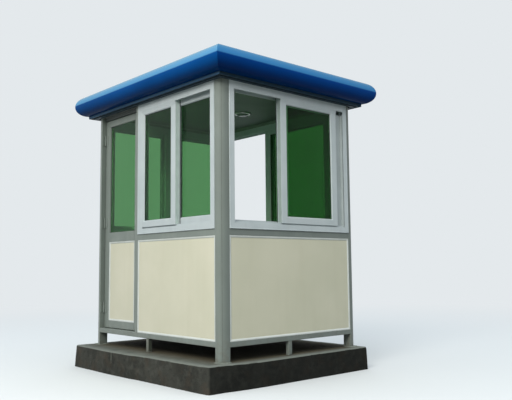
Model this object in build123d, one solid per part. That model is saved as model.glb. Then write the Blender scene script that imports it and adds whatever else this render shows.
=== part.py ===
from build123d import *
import os

# Security guard booth on a concrete plinth. Millimetres, +Z up.
# The origin is on the ground under the middle of the cabin, the front with the
# wide hatch window faces -Y, and the wall with the door faces -X.

# Cabin plan and the corner posts
cabin_width = 1500.0
cabin_depth = 1865.0
post_size = 78.0
post_round = 65.0
post_wall = 3.0
post_groove_width = 4.0
post_groove_depth = 2.0

# Plinth
plinth_height = 190.0
plinth_reach_door_side = 200.0
plinth_reach_front = 102.5
plinth_reach_right = 50.0
plinth_reach_back = 57.5
plinth_corner_round = 25.0
plinth_edge_round = 9.0

# Heights, each from the one below
floor_gap = 110.0
floor_rail_height = 40.0
lower_panel_height = 781.0
belt_rail_height = 50.0
window_height = 1131.0
head_rail_height = 90.0
ceiling_gap = 28.0

# Rails, feet and floor
rail_depth = 60.0
rail_edge_round = 3.0
foot_size = 35.0
foot_offset = 55.0
deck_thickness = 20.0
joist_width = 40.0
joist_count = 3
joist_spacing = 430.0

# Wall panels and their beads
panel_thickness = 48.0
panel_setback = 6.0
bead_width = 16.0
bead_height = 5.0

# Window frame extrusion, with two sliding tracks
frame_proud = 8.0
frame_depth = 86.0
frame_chamber_side = 20.0
frame_chamber_head = 35.0
frame_chamber_sill = 39.0
flange_side = 48.0
flange_head = 62.0
flange_head_middle = 52.0
flange_sill_front = 51.0
flange_sill_middle = 60.0
flange_sill_back = 75.0
flange_thickness = 5.0
track_fin = 4.0

# Sliding sashes
sash_thickness = 31.0
sash_side_play = 4.0
sash_top_play = 9.0
sash_lift = 18.0
sash_groove = 6.0
sash_stile = 70.0
sash_rail_bottom = 57.0
sash_rail_top = 58.0
sash_overlap = 45.0
sash_bevel = 7.0
glass_thickness = 5.0
glass_bite = 8.0
front_outer_slide = 108.0
front_inner_short = 53.5
left_inner_slide = 15.0
right_outer_slide = 93.0
right_inner_short = 113.0

# Door
mullion_width = 40.0
door_opening = 600.0
door_setback = 41.0
door_thickness = 36.0
door_gap_hinge = 6.0
door_gap_latch = 8.0
door_gap_bottom = 6.0
door_gap_top = 6.0
door_head_height = 32.0
door_head_setback = 30.0
door_head_depth = 48.0
door_head_cover = 4.0
door_stile = 75.0
door_rail_bottom = 65.0
door_rail_middle = 85.0
door_rail_top = 58.0
door_panel_height = 714.0
door_panel_thickness = 24.0

# Door hinges, lock and handles
hinge_pin_radius = 3.0
hinge_pin_play = 0.1
hinge_knuckle_radius = 7.0
hinge_pin_forward = 8.0
hinge_pin_inset = 8.0
hinge_height = 96.0
hinge_leaf_length = 30.0
hinge_leaf_thickness = 3.0
hinge_leaf_start = 9.5
hinge_knuckle_gap = 0.5
hinge_end_inset = 180.0
lock_height = 1010.0
lock_plate_width = 32.0
lock_plate_height = 170.0
lock_plate_thickness = 4.0
lock_cylinder_radius = 9.0
lock_cylinder_proud = 4.0
pull_cup_width = 20.0
pull_cup_height = 60.0
pull_cup_depth = 10.0
lever_radius = 7.0
lever_standoff = 38.0
lever_length = 95.0

# Roof eaves, soffit and deck
eave_centre_reach = 66.0
eave_radius = 97.0
eave_skin = 4.0
eave_flange = 60.0
eave_hem = 12.0
eave_drip = 24.0
eave_bottom_height = 28.0
soffit_board = 10.0
soffit_step = 34.0
soffit_step_height = 10.0
roof_deck_thickness = 30.0
roof_rise = 60.0
roof_hip_run = 740.0

# Ceiling and lamp
ceiling_thickness = 10.0
cornice_size = 22.0
lamp_radius = 75.0
lamp_height = 32.0
lamp_round = 22.0
lamp_right = 225.0
lamp_front = 47.0

# Levels above the ground
plinth_top = plinth_height
floor_bottom = plinth_top + floor_gap
floor_top = floor_bottom + floor_rail_height
belt_bottom = floor_top + lower_panel_height
sill_level = belt_bottom + belt_rail_height
head_level = sill_level + window_height
post_top = head_level + head_rail_height
ceiling_level = head_level + ceiling_gap
eave_centre_level = head_level + eave_bottom_height + eave_radius
roof_level = eave_centre_level + eave_radius

half_width = cabin_width / 2
half_depth = cabin_depth / 2
track_depth = (frame_depth - 3 * flange_thickness) / 2


class Wall:
    """One side of the cabin, with s along it to the right as seen from outside,
    z up from the ground, and u out from the face of the posts."""

    def __init__(self, normal, reach, half_length):
        self.normal = Vector(*normal)
        self.along = Vector(0, 0, 1).cross(self.normal)
        self.reach = reach
        self.half_length = half_length
        self.inner = half_length - post_size
        self.plane = Plane(origin=self.normal * reach, x_dir=self.along, z_dir=self.normal)

    def slab(self, s0, s1, z0, z1, u0, u1):
        block = Box(abs(s1 - s0), abs(z1 - z0), abs(u1 - u0))
        return self.plane * Pos((s0 + s1) / 2, (z0 + z1) / 2, (u0 + u1) / 2) * block

    def run(self, outline):
        """A profile drawn in u and z, run along the wall and mitred at its ends."""
        far = self.half_length + 2 * eave_radius + eave_centre_reach
        start = self.normal * self.reach + self.along * far
        section = Plane(origin=start, x_dir=self.normal, z_dir=self.along * -1) * outline
        bar = extrude(section, amount=2 * far)
        inward = self.half_length
        outward = 2 * eave_radius + eave_centre_reach
        corners = [
            (-self.half_length - outward, outward),
            (self.half_length + outward, outward),
            (self.half_length - inward, -inward),
            (-self.half_length + inward, -inward),
        ]
        points = [self.normal * (self.reach + u) + self.along * s for s, u in corners[:3]]
        wedge = extrude(make_face(Polyline(*points, close=True)), amount=2 * roof_level, dir=(0, 0, 1))
        return bar & wedge


front = Wall((0, -1, 0), half_depth, half_width)
back = Wall((0, 1, 0), half_depth, half_width)
left = Wall((-1, 0, 0), half_width, half_depth)
right = Wall((1, 0, 0), half_width, half_depth)
walls = {"front": front, "back": back, "left": left, "right": right}

# On the door side, s falls towards the back: the window is by the front post.
door_s0 = -left.inner
door_s1 = door_s0 + door_opening
mullion_s1 = door_s1 + mullion_width

nodes = {}


def group(parts):
    return Compound(children=list(parts))


def plinth():
    length_x = cabin_width + plinth_reach_door_side + plinth_reach_right
    length_y = cabin_depth + plinth_reach_front + plinth_reach_back
    middle_x = (plinth_reach_right - plinth_reach_door_side) / 2
    middle_y = (plinth_reach_back - plinth_reach_front) / 2
    block = Pos(middle_x, middle_y, plinth_height / 2) * Box(length_x, length_y, plinth_height)
    block = fillet(block.edges().filter_by(Axis.Z), plinth_corner_round)
    return fillet(block.faces().sort_by(Axis.Z)[-1].edges(), plinth_edge_round)


def corner_post(side_x, side_y):
    """Hollow extrusion with a quarter-round outer corner and a seam groove."""
    def section(inset):
        size = post_size - 2 * inset
        square = Pos(post_size / 2, post_size / 2) * Rectangle(size, size)
        return fillet(square.vertices().sort_by_distance((0, 0, 0))[0], post_round - inset)

    groove_place = post_round * (1 - 0.5 ** 0.5)
    groove = Pos(groove_place, groove_place) * Rot(0, 0, 45) * Rectangle(2 * post_groove_depth, post_groove_width)
    profile = section(0) - section(post_wall) - groove
    post = extrude(profile, amount=post_top - plinth_top)
    if side_x > 0:
        post = mirror(post, Plane.YZ)
    if side_y > 0:
        post = mirror(post, Plane.XZ)
    return Pos(side_x * half_width, side_y * half_depth, plinth_top) * post


def rail(wall, s0, s1, z0, z1):
    bar = wall.slab(s0, s1, z0, z1, -rail_depth, 0)
    outer = bar.faces().sort_by(lambda f: f.center().dot(wall.normal))[-1]
    long_edges = outer.edges().filter_by(lambda e: abs(e.center().Z - (z0 + z1) / 2) > rail_edge_round)
    return fillet(long_edges, rail_edge_round)


def wall_panel(wall, s0, s1):
    return wall.slab(s0, s1, floor_top, belt_bottom, -panel_setback - panel_thickness, -panel_setback)


def ring(wall, outer, inner, u0, u1):
    """A rectangular ring; outer and inner are (s0, s1, z0, z1)."""
    reach = 1.0
    return wall.slab(*outer, u0, u1) - wall.slab(*inner, u0 - reach, u1 + reach)


def inset(box, side, bottom, top):
    s0, s1, z0, z1 = box
    return (s0 + side, s1 - side, z0 + bottom, z1 - top)


def panel_bead(wall, s0, s1, z0, z1, u0):
    outer = (s0, s1, z0, z1)
    return ring(wall, outer, inset(outer, bead_width, bead_width, bead_width), u0, u0 + bead_height)


def window_frame(wall, s0, s1):
    """Extruded frame: a chamber all round, three flanges that make two channels,
    and a fin in each channel of the sill for the rollers to run on."""
    outer = (s0, s1, sill_level, head_level)
    back_face = frame_proud - frame_depth
    body = ring(wall, outer, inset(outer, frame_chamber_side, frame_chamber_sill, frame_chamber_head),
                back_face, frame_proud)
    lips = [
        (frame_proud - flange_thickness, flange_sill_front, flange_head),
        (back_face + flange_thickness + track_depth, flange_sill_middle, flange_head_middle),
        (back_face, flange_sill_back, flange_head),
    ]
    for u0, sill, head in lips:
        body += ring(wall, outer, inset(outer, flange_side, sill, head), u0, u0 + flange_thickness)
    for track in (0, 1):
        middle = track_middle(track)
        body += wall.slab(s0 + frame_chamber_side, s1 - frame_chamber_side,
                          sill_level + frame_chamber_sill, sash_bottom() + sash_groove,
                          middle - track_fin / 2, middle + track_fin / 2)
    return body


def track_middle(track):
    """Track 0 is the outer one."""
    front_face = frame_proud - flange_thickness
    return front_face - track_depth / 2 - track * (track_depth + flange_thickness)


def sash_bottom():
    return sill_level + frame_chamber_sill + sash_lift


def sash_width(s0, s1):
    inside = (s1 - s0) - 2 * (frame_chamber_side + sash_side_play)
    return (inside + sash_overlap) / 2


def slide_to(s0, s1, short):
    """How far a sash slides from shut to stand this far short of fully open."""
    return (s1 - s0) - 2 * (frame_chamber_side + sash_side_play) - sash_width(s0, s1) - short


def sash_box(s0, s1, at_right, slide):
    """Outline of a sash: shut it stands at one side, and it slides to the other."""
    width = sash_width(s0, s1)
    shut = s1 - frame_chamber_side - sash_side_play - width if at_right else s0 + frame_chamber_side + sash_side_play
    start = shut - slide if at_right else shut + slide
    return (start, start + width, sash_bottom(), head_level - frame_chamber_head - sash_top_play)


def pane_box(box):
    opening = inset(box, sash_stile, sash_rail_bottom, sash_rail_top)
    return inset(opening, -glass_bite, -glass_bite, -glass_bite)


def pane(wall, box, track):
    middle = track_middle(track)
    return wall.slab(*pane_box(box), middle - glass_thickness / 2, middle + glass_thickness / 2)


def sash(wall, box, track):
    """Welded sash with bevelled inner edges, holding its pane in a groove, and
    grooved below and above for the fins it runs on."""
    middle = track_middle(track)
    u0 = middle - sash_thickness / 2
    u1 = middle + sash_thickness / 2
    opening = inset(box, sash_stile, sash_rail_bottom, sash_rail_top)
    body = wall.slab(*box, u0, u1)
    hole = wall.slab(*opening, u0, u1)
    for end, way in ((u1, 1), (u0, -1)):
        wide = inset(opening, -sash_bevel, -sash_bevel, -sash_bevel)
        hole += loft([face_at(wall, opening, end - way * sash_bevel), face_at(wall, wide, end)], ruled=True)
    s0, s1, z0, z1 = box
    groove_half = track_fin / 2 + 1.0
    body -= wall.slab(s0, s1, z0, z0 + sash_groove, middle - groove_half, middle + groove_half)
    return body - hole - pane(wall, box, track)


def face_at(wall, box, u):
    s0, s1, z0, z1 = box
    outline = Pos((s0 + s1) / 2, (z0 + z1) / 2, u) * Rectangle(s1 - s0, z1 - z0)
    return wall.plane * outline


def window(name, s0, s1, slides=(0.0, 0.0), outer_at_right=True):
    wall = walls[name]
    boxes = [sash_box(s0, s1, outer_at_right, slides[0]), sash_box(s0, s1, not outer_at_right, slides[1])]
    nodes[name + "_window_frame"] = window_frame(wall, s0, s1)
    nodes[name + "_outer_sash"] = sash(wall, boxes[0], 0)
    nodes[name + "_inner_sash"] = sash(wall, boxes[1], 1)
    nodes[name + "_window_glass"] = group(pane(wall, box, track) for track, box in enumerate(boxes))


# The door leaf, in the same s, z and u as its wall
leaf = (door_s0 + door_gap_hinge, door_s1 - door_gap_latch, floor_top + door_gap_bottom,
        head_level - door_head_height - door_gap_top)
leaf_front = -door_setback
leaf_back = leaf_front - door_thickness
leaf_middle = (leaf_front + leaf_back) / 2
door_panel_box = (leaf[0] + door_stile, leaf[1] - door_stile, leaf[2] + door_rail_bottom,
                  leaf[2] + door_rail_bottom + door_panel_height)
door_glass_box = (leaf[0] + door_stile, leaf[1] - door_stile, door_panel_box[3] + door_rail_middle,
                  leaf[3] - door_rail_top)


def door_head():
    """Stop over the leaf, with a cover under the head rail out to the face of the wall."""
    stop = left.slab(door_s0, door_s1, head_level - door_head_height, head_level,
                     -door_head_setback - door_head_depth, -door_head_setback)
    return stop + left.slab(door_s0, door_s1, head_level - door_head_cover, head_level, -door_head_setback, 0)


def door_glass():
    box = inset(door_glass_box, -glass_bite, -glass_bite, -glass_bite)
    return left.slab(*box, leaf_middle - glass_thickness / 2, leaf_middle + glass_thickness / 2)


def door_panel():
    half = door_panel_thickness / 2
    return left.slab(*door_panel_box, leaf_middle - half, leaf_middle + half)


def door_frame():
    body = left.slab(*leaf, leaf_back, leaf_front)
    for box in (door_panel_box, door_glass_box):
        body -= left.slab(*box, leaf_back, leaf_front)
        for end, way in ((leaf_front, 1), (leaf_back, -1)):
            wide = inset(box, -sash_bevel / 2, -sash_bevel / 2, -sash_bevel / 2)
            body -= loft([face_at(left, box, end - way * sash_bevel / 2), face_at(left, wide, end)], ruled=True)
    cup = left.slab(lock_s() - pull_cup_width / 2, lock_s() + pull_cup_width / 2,
                    cup_middle() - pull_cup_height / 2, cup_middle() + pull_cup_height / 2,
                    leaf_front - pull_cup_depth, leaf_front)
    return body - door_glass() - cup


def lock_s():
    return leaf[1] - door_stile / 2


def lock_level():
    return floor_top + lock_height


def cup_middle():
    return lock_level() - lock_plate_height / 2 + pull_cup_height / 2 + pull_cup_depth


def cylinder_out(s, z, u0, u1, radius):
    return left.plane * Pos(s, z, (u0 + u1) / 2) * Cylinder(radius, u1 - u0)


def door_handles():
    """Outside a flat pull plate with a key cylinder, inside a lever on its rose."""
    half_width = lock_plate_width / 2
    half_height = lock_plate_height / 2
    s = lock_s()
    z = lock_level()
    key_z = z + half_height - 2 * lock_cylinder_radius
    plate_front = leaf_front + lock_plate_thickness
    outside = left.slab(s - half_width, s + half_width, z - half_height, z + half_height, leaf_front, plate_front)
    outside -= left.slab(s - pull_cup_width / 2, s + pull_cup_width / 2,
                         cup_middle() - pull_cup_height / 2, cup_middle() + pull_cup_height / 2,
                         leaf_front, plate_front)
    outside += cylinder_out(s, key_z, leaf_front, plate_front + lock_cylinder_proud, lock_cylinder_radius)
    plate_back = leaf_back - lock_plate_thickness
    inside = left.slab(s - half_width, s + half_width, z - half_height, z + half_height, plate_back, leaf_back)
    inside += cylinder_out(s, z, plate_back - lever_standoff, plate_back, lever_radius)
    grip_u = plate_back - lever_standoff + lever_radius
    grip = left.plane * Pos(s - lever_length / 2, z, grip_u) * Rot(0, 90, 0) * Cylinder(lever_radius, lever_length)
    inside += grip
    return group([outside, inside])


def hinge_levels():
    low = leaf[2] + hinge_end_inset
    high = leaf[3] - hinge_end_inset
    return (low, (low + high) / 2, high)


hinge_s = door_s0 + hinge_pin_inset
hinge_u = leaf_front + hinge_pin_forward


def upright(z0, z1, radius):
    return left.plane * Pos(hinge_s, (z0 + z1) / 2, hinge_u) * Rot(90, 0, 0) * Cylinder(radius, z1 - z0)


def fixed_hinge(z):
    """Leaf screwed to the post, the outer two knuckles, and the pin."""
    half = hinge_height / 2
    third = hinge_height / 6
    leaf_u = hinge_u + hinge_leaf_start
    body = left.slab(door_s0, door_s0 + hinge_leaf_thickness, z - half, z + half,
                     leaf_u, leaf_u + hinge_leaf_length * 0.7)
    body += upright(z - half, z + half, hinge_pin_radius)
    for z0, z1 in ((z - half, z - third - hinge_knuckle_gap), (z + third + hinge_knuckle_gap, z + half)):
        body += upright(z0, z1, hinge_knuckle_radius)
        body += left.slab(door_s0, door_s0 + hinge_leaf_thickness, z0, z1, hinge_u, leaf_u)
    return body


def moving_hinge(z):
    """Leaf screwed to the face of the door, and the middle knuckle."""
    half = hinge_height / 2
    third = hinge_height / 6
    leaf_s = hinge_s + hinge_leaf_start
    face = leaf_front + hinge_leaf_thickness
    body = left.slab(leaf_s, leaf_s + hinge_leaf_length, z - half, z + half, leaf_front, face)
    body += left.slab(hinge_s, leaf_s, z - third, z + third, leaf_front, face)
    body += upright(z - third, z + third, hinge_knuckle_radius)
    return body - upright(z - third, z + third, hinge_pin_radius + hinge_pin_play)


def feet():
    """One square leg under the middle of each floor rail."""
    for wall in walls.values():
        middle = -foot_offset
        yield wall.slab(middle - foot_size / 2, middle + foot_size / 2, plinth_top, floor_bottom, -foot_size, 0)


def clear_of_posts(shape):
    """Notch a piece round the four corner posts."""
    middle_x = half_width - post_size / 2
    middle_y = half_depth - post_size / 2
    for x, y in ((-1, -1), (1, -1), (-1, 1), (1, 1)):
        shape -= Pos(x * middle_x, y * middle_y, post_top / 2) * Box(post_size, post_size, post_top)
    return shape


def sheet_between_posts(z0, z1, edge):
    """A flat sheet inside the rails."""
    sheet = Pos(0, 0, (z0 + z1) / 2) * Box(cabin_width - 2 * edge, cabin_depth - 2 * edge, z1 - z0)
    return clear_of_posts(sheet)


def joists():
    for index in range(joist_count):
        x = (index - (joist_count - 1) / 2) * joist_spacing
        low = floor_bottom
        high = floor_top - deck_thickness
        yield Pos(x, 0, (low + high) / 2) * Box(joist_width, cabin_depth - 2 * rail_depth, high - low)


def eave_outline():
    """Half-round nosing of thin skin, with a flange over the deck, and below it a
    hem on the soffit and a drip edge turned down in front of the soffit."""
    outer = CenterArc((eave_centre_reach, eave_centre_level), eave_radius, -90, 180)
    top = roof_level
    bottom = eave_centre_level - eave_radius
    inner_radius = eave_radius - eave_skin
    inner = CenterArc((eave_centre_reach, eave_centre_level), inner_radius, -90, 180)
    in_top = eave_centre_reach - eave_flange
    in_bottom = eave_centre_reach - eave_hem
    drip_back = eave_centre_reach - eave_skin
    drip_end = bottom - eave_drip
    lines = [
        outer,
        Line(outer @ 1, (in_top, top)),
        Line((in_top, top), (in_top, top - eave_skin)),
        Line((in_top, top - eave_skin), inner @ 1),
        inner,
        Line(inner @ 0, (in_bottom, bottom + eave_skin)),
        Line((in_bottom, bottom + eave_skin), (in_bottom, bottom)),
        Line((in_bottom, bottom), (drip_back, bottom)),
        Line((drip_back, bottom), (drip_back, drip_end)),
        Line((drip_back, drip_end), (eave_centre_reach, drip_end)),
        Line((eave_centre_reach, drip_end), outer @ 0),
    ]
    return make_face(lines)


def soffit_outline():
    """Folded soffit: two steps out from the wall to the back of the drip edge."""
    z0 = head_level
    z1 = z0 + soffit_step_height
    z2 = eave_centre_level - eave_radius
    board = soffit_board
    end = eave_centre_reach - eave_skin
    points = [
        (0, z0), (soffit_step, z0), (soffit_step, z1), (end, z1), (end, z2), (end - board, z2),
        (end - board, z1 + board), (soffit_step - board, z1 + board), (soffit_step - board, z0 + board),
        (0, z0 + board),
    ]
    return make_face(Polyline(*points, close=True))


def soffit():
    sides = [wall.run(soffit_outline()) for wall in walls.values()]
    return sides[0].fuse(*sides[1:])


def roof_deck():
    """Insulated deck under the flange of the nosing, with a low hipped top."""
    reach = eave_centre_reach
    top = roof_level - eave_skin
    slab = Pos(0, 0, top - roof_deck_thickness / 2) * Box(
        cabin_width + 2 * reach, cabin_depth + 2 * reach, roof_deck_thickness)
    edge = eave_centre_reach - eave_flange
    low = Pos(0, 0, top) * Rectangle(cabin_width + 2 * edge, cabin_depth + 2 * edge)
    run = 2 * (roof_hip_run - edge)
    high = Pos(0, 0, top + roof_rise) * Rectangle(
        cabin_width + 2 * edge - run, cabin_depth + 2 * edge - run)
    return slab + loft([low, high], ruled=True)


def ceiling():
    return sheet_between_posts(ceiling_level, ceiling_level + ceiling_thickness, rail_depth)


def cornice_outline():
    """Cove moulding where the ceiling meets the head rail."""
    u = -rail_depth
    z = ceiling_level
    arc_middle = (u - cornice_size * 0.35, z - cornice_size * 0.35)
    lines = [
        Line((u, z), (u, z - cornice_size)),
        ThreePointArc((u, z - cornice_size), arc_middle, (u - cornice_size, z)),
        Line((u - cornice_size, z), (u, z)),
    ]
    return make_face(lines)


def lamp():
    body = Pos(lamp_right, -lamp_front, ceiling_level - lamp_height / 2) * Cylinder(lamp_radius, lamp_height)
    return fillet(body.edges().sort_by(Axis.Z)[0], lamp_round)


nodes["plinth"] = plinth()
for name, side_x, side_y in (("front_left", -1, -1), ("front_right", 1, -1), ("back_left", -1, 1), ("back_right", 1, 1)):
    nodes["corner_post_" + name] = corner_post(side_x, side_y)
nodes["floor_feet"] = group(feet())
nodes["floor_rails"] = group(rail(w, -w.inner, w.inner, floor_bottom, floor_top) for w in walls.values())
nodes["floor_joists"] = group(joists())
nodes["floor_deck"] = sheet_between_posts(floor_top - deck_thickness, floor_top, rail_depth)

spans = {
    "front": (-front.inner, front.inner),
    "back": (-back.inner, back.inner),
    "left": (mullion_s1, left.inner),
    "right": (-right.inner, right.inner),
}
for name, (s0, s1) in spans.items():
    nodes[name + "_wall_panel"] = wall_panel(walls[name], s0, s1)
nodes["panel_beads"] = group(
    panel_bead(walls[name], s0, s1, floor_top, belt_bottom, -panel_setback) for name, (s0, s1) in spans.items())
nodes["belt_rails"] = group(
    rail(walls[name], s0, s1, belt_bottom, sill_level) for name, (s0, s1) in spans.items())
nodes["head_rails"] = group(rail(w, -w.inner, w.inner, head_level, post_top) for w in walls.values())

window("front", *spans["front"], slides=(front_outer_slide, slide_to(*spans["front"], front_inner_short)))
window("back", *spans["back"])
window("left", *spans["left"], slides=(0.0, left_inner_slide), outer_at_right=False)
window("right", *spans["right"], slides=(right_outer_slide, slide_to(*spans["right"], right_inner_short)),
       outer_at_right=False)

nodes["door_mullion"] = left.slab(door_s1, mullion_s1, floor_top, head_level, -post_size, 0)
nodes["door_head"] = door_head()
nodes["door_frame"] = door_frame()
nodes["door_panel"] = door_panel()
nodes["door_beads"] = panel_bead(left, *door_panel_box, leaf_middle + door_panel_thickness / 2)
nodes["door_glass"] = door_glass()
nodes["door_handles"] = door_handles()
nodes["door_hinge_leaves"] = group(moving_hinge(z) for z in hinge_levels())
nodes["post_hinge_leaves"] = group(fixed_hinge(z) for z in hinge_levels())

for name, wall in walls.items():
    nodes[name + "_eave"] = wall.run(eave_outline())
nodes["soffit"] = soffit()
nodes["roof_deck"] = roof_deck()
nodes["ceiling"] = ceiling()
nodes["cornice"] = group(clear_of_posts(wall.run(cornice_outline())) for wall in walls.values())
nodes["ceiling_lamp"] = lamp()

os.makedirs("parts", exist_ok=True)
for name, shape in nodes.items():
    export_step(shape, "parts/" + name + ".step")
print(len(nodes), "nodes, total height", roof_level - eave_skin + roof_rise)
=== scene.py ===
import math

import bmesh
import bpy
from mathutils import Matrix, Vector, noise


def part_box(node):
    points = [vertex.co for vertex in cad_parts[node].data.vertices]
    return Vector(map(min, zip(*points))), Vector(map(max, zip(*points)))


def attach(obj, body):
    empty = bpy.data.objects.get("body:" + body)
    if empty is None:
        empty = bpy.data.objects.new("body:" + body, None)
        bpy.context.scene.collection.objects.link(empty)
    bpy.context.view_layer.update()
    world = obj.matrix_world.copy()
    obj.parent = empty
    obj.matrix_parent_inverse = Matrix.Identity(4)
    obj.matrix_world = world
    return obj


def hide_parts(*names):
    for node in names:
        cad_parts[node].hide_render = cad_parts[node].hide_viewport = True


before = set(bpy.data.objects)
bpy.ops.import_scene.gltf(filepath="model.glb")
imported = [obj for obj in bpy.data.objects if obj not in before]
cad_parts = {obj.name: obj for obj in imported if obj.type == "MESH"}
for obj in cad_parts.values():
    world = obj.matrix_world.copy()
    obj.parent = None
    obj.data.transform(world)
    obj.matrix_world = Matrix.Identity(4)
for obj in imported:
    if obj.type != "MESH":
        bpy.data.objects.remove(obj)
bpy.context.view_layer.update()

scene = bpy.context.scene
scene.view_settings.view_transform = "Standard"

# Camera
# A hand-held view from the front left at chest height, turned a little up, so that
# the door wall stands on the left of the near post and the hatch wall on its right.
eye = Vector((-3.848, -4.7775, 0.886))
turn, lift, tilt = (math.radians(angle) for angle in (41.83, 5.67, -0.56))
ahead = Vector((math.sin(turn) * math.cos(lift), math.cos(turn) * math.cos(lift), math.sin(lift)))
level = Vector((math.cos(turn), -math.sin(turn), 0))
over = level.cross(ahead)
rightward = level * math.cos(tilt) + over * math.sin(tilt)
upward = over * math.cos(tilt) - level * math.sin(tilt)
camera = bpy.data.objects.new("camera", bpy.data.cameras.new("camera"))
camera.matrix_world = Matrix.Translation(eye) @ Matrix((rightward, upward, -ahead)).transposed().to_4x4()
camera.data.sensor_width = 36.0
camera.data.lens = 47.21
scene.collection.objects.link(camera)
scene.camera = camera


# Floor, backdrop and light
# A pale painted studio floor that fades into a plain pale backdrop. The light is an
# even sky, dull towards the horizon, and one soft panel on the door side. The view,
# reflections and rays through glass see the pale backdrop, which adds no light.
def paint(code):
    """A colour written as sRGB hex, as the linear values that a shader takes."""
    parts = [int(code[at:at + 2], 16) / 255 for at in (1, 3, 5)]
    return [p / 12.92 if p <= 0.04045 else ((p + 0.055) / 1.055) ** 2.4 for p in parts] + [1.0]


def wire(node, inputs):
    """Gives a node's inputs their numbers or hex colours, or links sockets to them."""
    for key, value in inputs.items():
        if isinstance(value, bpy.types.NodeSocket):
            node.id_data.links.new(value, node.inputs[key])
        else:
            node.inputs[key].default_value = paint(value) if isinstance(value, str) else value


def add(tree, kind, inputs=None, out=0, **settings):
    """Adds a node with its settings and inputs, and gives one of its outputs."""
    new = tree.nodes.new("ShaderNode" + kind)
    for key, value in settings.items():
        setattr(new, key, value)
    wire(new, inputs or {})
    return new.outputs[out] if new.outputs else new


def surface(name, even):
    """A material whose one shader has its even values set, its node tree and that shader."""
    made = bpy.data.materials.new(name)
    made.use_nodes = True
    shader = made.node_tree.nodes["Principled BSDF"]
    wire(shader, even)
    return made, made.node_tree, shader


def seen(tree):
    """1 for rays of the view, of reflections and through glass, and 0 for light."""
    view, gloss, through = (add(tree, "LightPath", out="Is " + kind + " Ray")
                            for kind in ("Camera", "Glossy", "Transmission"))
    return add(tree, "Math", {0: add(tree, "Math", {0: view, 1: gloss}), 1: through}, use_clamp=True)


backdrop_colour = "#e4e9ec"
scene.world = bpy.data.worlds.new("backdrop")
scene.world.use_nodes = True
tree = scene.world.node_tree
tree.nodes.clear()
up = add(tree, "SeparateXYZ", {0: add(tree, "TexCoord", out="Generated")}, out="Z")
opening = add(tree, "MapRange", {"Value": up, "From Min": 0.3, "From Max": 0.58, "To Min": 0.38,
                                 "To Max": 1.35}, interpolation_type="SMOOTHSTEP")
sky = add(tree, "Background", {"Color": "#edf4fb", "Strength": opening})
plain = add(tree, "Background", {"Color": backdrop_colour, "Strength": 1.0})
add(tree, "OutputWorld", {"Surface": add(tree, "MixShader", {0: seen(tree), 1: sky, 2: plain})})

floor_reach = 60.0
fade_from, fade_to = 2.2, 11.0
floor_mesh = bpy.data.meshes.new("studio_floor")
disc = bmesh.new()
bmesh.ops.create_circle(disc, cap_ends=True, radius=floor_reach, segments=96)
disc.to_mesh(floor_mesh)
disc.free()
floor_paint, tree, matt = surface("floor_paint", {"Roughness": 0.85})
lit = add(tree, "Mix", {0: seen(tree), 6: "#6e716c", 7: "#d4d8d8"}, out=2, data_type="RGBA")
wire(matt, {"Base Color": lit})
away = add(tree, "VectorMath", {0: add(tree, "TexCoord", out="Object")}, out="Value", operation="LENGTH")
fading = add(tree, "MapRange", {"Value": away, "From Min": fade_from, "From Max": fade_to},
             interpolation_type="SMOOTHSTEP")
share = add(tree, "Math", {0: fading, 1: seen(tree)}, operation="MULTIPLY")
glow = add(tree, "Emission", {"Color": backdrop_colour, "Strength": 1.0})
faded = add(tree, "MixShader", {0: share, 1: matt.outputs[0], 2: glow})
wire(tree.nodes["Material Output"], {"Surface": faded})
floor_mesh.materials.append(floor_paint)
studio_floor = bpy.data.objects.new("studio_floor", floor_mesh)
scene.collection.objects.link(studio_floor)

light = bpy.data.lights.new("door_side_panel", "AREA")
light.size = 4.5
light.energy = 700
light.color = paint("#fffaf2")[:3]
panel = bpy.data.objects.new("door_side_panel", light)
panel.location = (-7.0, -4.2, 6.2)
panel.rotation_euler = (Vector((0, 0, 1.2)) - panel.location).to_track_quat("-Z", "Y").to_euler()
panel.visible_glossy = False
scene.collection.objects.link(panel)


# Plinth
# One block of cast concrete, darkened by years of rain and traffic dirt. It was cast
# by hand, so its edges wander and its top rim is worn pale, and in two goes, so a
# mortar joint runs down its door side.
def rounded(corners, steps=5):
    """An outline in mm from (x, y, radius) corners, each turned by an arc."""
    points = []
    for index, (x, y, radius) in enumerate(corners):
        here = Vector((x, y))
        before = (Vector(corners[index - 1][:2]) - here).normalized()
        after = (Vector(corners[(index + 1) % len(corners)][:2]) - here).normalized()
        if not radius:
            points.append(here)
            continue
        half = before.angle(after) / 2
        middle = here + (before + after).normalized() * radius / math.sin(half)
        first = here + before * radius / math.tan(half) - middle
        last = here + after * radius / math.tan(half) - middle
        for step in range(steps + 1):
            points.append(middle + first.lerp(last, step / steps).normalized() * radius)
    return points


def box_section(a0, a1, b0, b1, radius, steps=3):
    return rounded([(a0, b0, radius), (a1, b0, radius), (a1, b1, radius), (a0, b1, radius)], steps)


def between_rings(count, rings, start=0):
    """Faces between rings of count points each, and over the first and the last ring."""
    faces = []
    for low in range(start, start + count * (rings - 1), count):
        for at in range(count):
            after = (at + 1) % count
            faces.append((low + at, low + after, low + count + after, low + count + at))
    last = start + count * (rings - 1)
    return faces + [tuple(range(start, start + count)), tuple(range(last, last + count))]


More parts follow.
